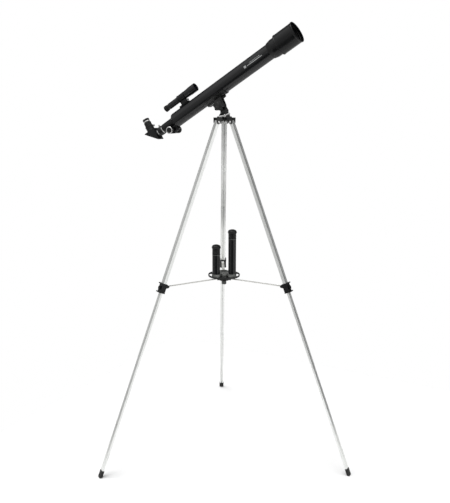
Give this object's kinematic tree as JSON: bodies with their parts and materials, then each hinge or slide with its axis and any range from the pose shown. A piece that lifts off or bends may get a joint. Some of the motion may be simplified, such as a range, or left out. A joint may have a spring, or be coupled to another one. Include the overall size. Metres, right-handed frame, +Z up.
{
  "type": "telescope on tripod",
  "caption": "Small refracting telescope with finder and star diagonal on a fork head and a folding aluminium tripod with a leg brace and accessory tray.",
  "frame": {"origin": "on the floor, under the middle of the whole object's bounding box", "axes": "+Z up; +X along the level direction the tube points at rest; one leg lies under the tube"},
  "size_m": [0.8192, 0.8542, 1.4698],
  "materials": {
    "black_enamel": "gloss",
    "black_plastic": "satin",
    "black_rubber": "matt",
    "satin_aluminium": "satin, clear anodised",
    "chrome": "bright",
    "bright_steel": "satin",
    "brass": "satin",
    "coated_glass": "coated, clear"
  },
  "bodies": {
    "tripod_head": {"tripod_head": "black_plastic", "leg_bolt_1": "bright_steel", "leg_bolt_2": "bright_steel", "leg_bolt_3": "bright_steel"},
    "leg_1": {"leg_cap_1": "black_plastic", "upper_leg_1": "satin_aluminium", "leg_collar_1": "black_plastic"},
    "lower_leg_1": {"lower_leg_1": "satin_aluminium", "leg_foot_1": "black_rubber"},
    "leg_lock_1": {"leg_lock_1": "black_plastic"},
    "brace_1": {"brace_1": "satin_aluminium"},
    "leg_2": {"leg_cap_2": "black_plastic", "upper_leg_2": "satin_aluminium", "leg_collar_2": "black_plastic"},
    "lower_leg_2": {"lower_leg_2": "satin_aluminium", "leg_foot_2": "black_rubber"},
    "leg_lock_2": {"leg_lock_2": "black_plastic"},
    "brace_2": {"brace_2": "satin_aluminium"},
    "leg_3": {"leg_cap_3": "black_plastic", "upper_leg_3": "satin_aluminium", "leg_collar_3": "black_plastic"},
    "lower_leg_3": {"lower_leg_3": "satin_aluminium", "leg_foot_3": "black_rubber"},
    "leg_lock_3": {"leg_lock_3": "black_plastic"},
    "brace_3": {"brace_3": "satin_aluminium"},
    "spreader": {"spreader_hub": "black_plastic", "accessory_tray": "black_plastic"},
    "tray_knob": {"tray_knob": "black_plastic"},
    "barlow_lens": {"barlow_lens": "black_plastic"},
    "erecting_lens": {"erecting_lens": "black_plastic"},
    "fork": {"azimuth_base": "black_plastic", "altitude_bolt": "bright_steel"},
    "azimuth_lock": {"azimuth_lock_bolt": "chrome"},
    "altitude_knob": {"altitude_knob": "black_plastic"},
    "tube": {"saddle_bracket": "black_plastic", "main_tube": "black_enamel", "objective_cell": "black_plastic", "objective_lens": "coated_glass", "lens_retaining_ring": "black_plastic", "dew_shield": "black_plastic", "focuser_housing": "black_plastic", "pinion_cover": "black_plastic", "finder_bracket": "black_plastic", "finder_tube": "black_enamel", "finder_objective": "coated_glass"},
    "finder_eyepiece": {"finder_eyepiece": "black_plastic"},
    "finder_screw": {"finder_thumbscrew": "chrome"},
    "focus_tension": {"focus_tension_screw": "bright_steel"},
    "drawtube": {"drawtube": "chrome", "drawtube_rack": "brass"},
    "drawtube_screw": {"drawtube_thumbscrew": "chrome"},
    "focus_shaft": {"pinion_shaft": "bright_steel", "focus_knob_left": "black_plastic", "focus_knob_right": "black_plastic"},
    "diagonal": {"diagonal_housing": "black_plastic", "diagonal_prism": "coated_glass", "diagonal_barrel": "chrome"},
    "diagonal_screw": {"diagonal_thumbscrew": "chrome"},
    "eyepiece": {"eyepiece": "black_plastic", "eye_lens": "coated_glass"}
  },
  "joints": [
    {"name": "leg_fold_1", "type": "hinge", "parent": "tripod_head", "child": "leg_1", "pos_m": [-0.0501, 0, 1.165], "axis": [0, 1, 0], "range_deg": [0, 6]},
    {"name": "leg_slide_1", "type": "slide", "parent": "leg_1", "child": "lower_leg_1", "axis": [-0.3641, 0, 0.9313], "range_m": [0, 0.45]},
    {"name": "leg_lock_turn_1", "type": "hinge", "parent": "leg_1", "child": "leg_lock_1", "pos_m": [0.16966, 0, 0.62656], "axis": [0.9313, 0, 0.3641], "range_deg": [0, 360]},
    {"name": "brace_swing_1", "type": "hinge", "parent": "leg_1", "child": "brace_1", "pos_m": [0.1439, 0, 0.6267], "axis": [0, 1, 0], "range_deg": [0, 39.41]},
    {"name": "leg_fold_2", "type": "hinge", "parent": "tripod_head", "child": "leg_2", "pos_m": [-0.09285, 0.02468, 1.165], "axis": [-0.866, -0.5, 0], "range_deg": [0, 6]},
    {"name": "leg_slide_2", "type": "slide", "parent": "leg_2", "child": "lower_leg_2", "axis": [0.1821, -0.3154, 0.9313], "range_m": [0, 0.45]},
    {"name": "leg_lock_turn_2", "type": "hinge", "parent": "leg_2", "child": "leg_lock_2", "pos_m": [-0.20273, 0.215, 0.62656], "axis": [-0.4657, 0.8066, 0.3641], "range_deg": [0, 360]},
    {"name": "brace_swing_2", "type": "hinge", "parent": "leg_2", "child": "brace_2", "pos_m": [-0.18985, 0.19269, 0.6267], "axis": [-0.866, -0.5, 0], "range_deg": [0, 39.41]},
    {"name": "leg_fold_3", "type": "hinge", "parent": "tripod_head", "child": "leg_3", "pos_m": [-0.09285, -0.02468, 1.165], "axis": [0.866, -0.5, 0], "range_deg": [0, 6]},
    {"name": "leg_slide_3", "type": "slide", "parent": "leg_3", "child": "lower_leg_3", "axis": [0.1821, 0.3154, 0.9313], "range_m": [0, 0.45]},
    {"name": "leg_lock_turn_3", "type": "hinge", "parent": "leg_3", "child": "leg_lock_3", "pos_m": [-0.20273, -0.215, 0.62656], "axis": [-0.4657, -0.8066, 0.3641], "range_deg": [0, 360]},
    {"name": "brace_swing_3", "type": "hinge", "parent": "leg_3", "child": "brace_3", "pos_m": [-0.18985, -0.19269, 0.6267], "axis": [0.866, -0.5, 0], "range_deg": [0, 39.41]},
    {"name": "spreader_rise", "type": "slide", "parent": "tripod_head", "child": "spreader", "axis": [0, 0, 1], "range_m": [0, 0.1267]},
    {"name": "tray_knob_turn", "type": "hinge", "parent": "spreader", "child": "tray_knob", "pos_m": [-0.0786, 0, 0.6143], "axis": [0, 0, 1], "range_deg": [0, 360]},
    {"name": "barlow_lift", "type": "slide", "parent": "spreader", "child": "barlow_lens", "axis": [0, 0, 1], "range_m": [0, 0.12]},
    {"name": "erector_lift", "type": "slide", "parent": "spreader", "child": "erecting_lens", "axis": [0, 0, 1], "range_m": [0, 0.13]},
    {"name": "azimuth_turn", "type": "hinge", "parent": "tripod_head", "child": "fork", "pos_m": [-0.0786, 0, 1.185], "axis": [0, 0, 1], "continuous": true},
    {"name": "azimuth_lock_turn", "type": "hinge", "parent": "fork", "child": "azimuth_lock", "pos_m": [-0.0686, -0.01732, 1.1858], "axis": [0.5, -0.866, 0], "range_deg": [0, 180]},
    {"name": "altitude_knob_turn", "type": "hinge", "parent": "fork", "child": "altitude_knob", "pos_m": [-0.0866, -0.02, 1.2185], "axis": [0, -1, 0], "range_deg": [0, 360]},
    {"name": "altitude_tilt", "type": "hinge", "parent": "fork", "child": "tube", "pos_m": [-0.0866, 0, 1.2185], "axis": [0, -1, 0], "range_deg": [-42, 28]},
    {"name": "focus_slide", "type": "slide", "parent": "tube", "child": "drawtube", "axis": [-0.8545, 0, -0.5195], "range_m": [-0.004, 0.08]},
    {"name": "focus_turn", "type": "hinge", "parent": "tube", "child": "focus_shaft", "pos_m": [-0.27913, 0, 1.13479], "axis": [0, -1, 0], "range_deg": [-46, 917]},
    {"name": "focus_tension_turn", "type": "hinge", "parent": "tube", "child": "focus_tension", "pos_m": [-0.26303, 0, 1.13815], "axis": [0.5195, 0, -0.8545], "range_deg": [0, 360]},
    {"name": "drawtube_screw_turn", "type": "hinge", "parent": "drawtube", "child": "drawtube_screw", "pos_m": [-0.34137, 0, 1.14669], "axis": [-0.5195, 0, 0.8545], "range_deg": [0, 360]},
    {"name": "diagonal_turn", "type": "hinge", "parent": "drawtube", "child": "diagonal", "pos_m": [-0.338, 0, 1.12767], "axis": [0.8545, 0, 0.5195], "continuous": true},
    {"name": "diagonal_screw_turn", "type": "hinge", "parent": "diagonal", "child": "diagonal_screw", "pos_m": [-0.366, 0, 1.14869], "axis": [0.8545, 0, 0.5195], "range_deg": [0, 360]},
    {"name": "eyepiece_pull", "type": "slide", "parent": "diagonal", "child": "eyepiece", "axis": [-0.5195, 0, 0.8545], "range_m": [0, 0.03]},
    {"name": "finder_focus", "type": "slide", "parent": "tube", "child": "finder_eyepiece", "axis": [-0.8545, 0, -0.5195], "range_m": [0, 0.006]},
    {"name": "finder_screw_turn", "type": "hinge", "parent": "tube", "child": "finder_screw", "pos_m": [-0.22092, 0, 1.23924], "axis": [0.8545, 0, 0.5195], "range_deg": [0, 360]}
  ],
  "couplings": [
    {"joint": "brace_swing_1", "follows": "leg_fold_1", "ratio": 6.4847},
    {"joint": "leg_fold_2", "follows": "leg_fold_1", "ratio": 1},
    {"joint": "brace_swing_2", "follows": "leg_fold_1", "ratio": 6.4847},
    {"joint": "leg_fold_3", "follows": "leg_fold_1", "ratio": 1},
    {"joint": "brace_swing_3", "follows": "leg_fold_1", "ratio": 6.4847},
    {"joint": "spreader_rise", "follows": "leg_fold_1", "m_per_rad": 1.2},
    {"joint": "focus_turn", "follows": "focus_slide", "rad_per_m": 200}
  ]
}
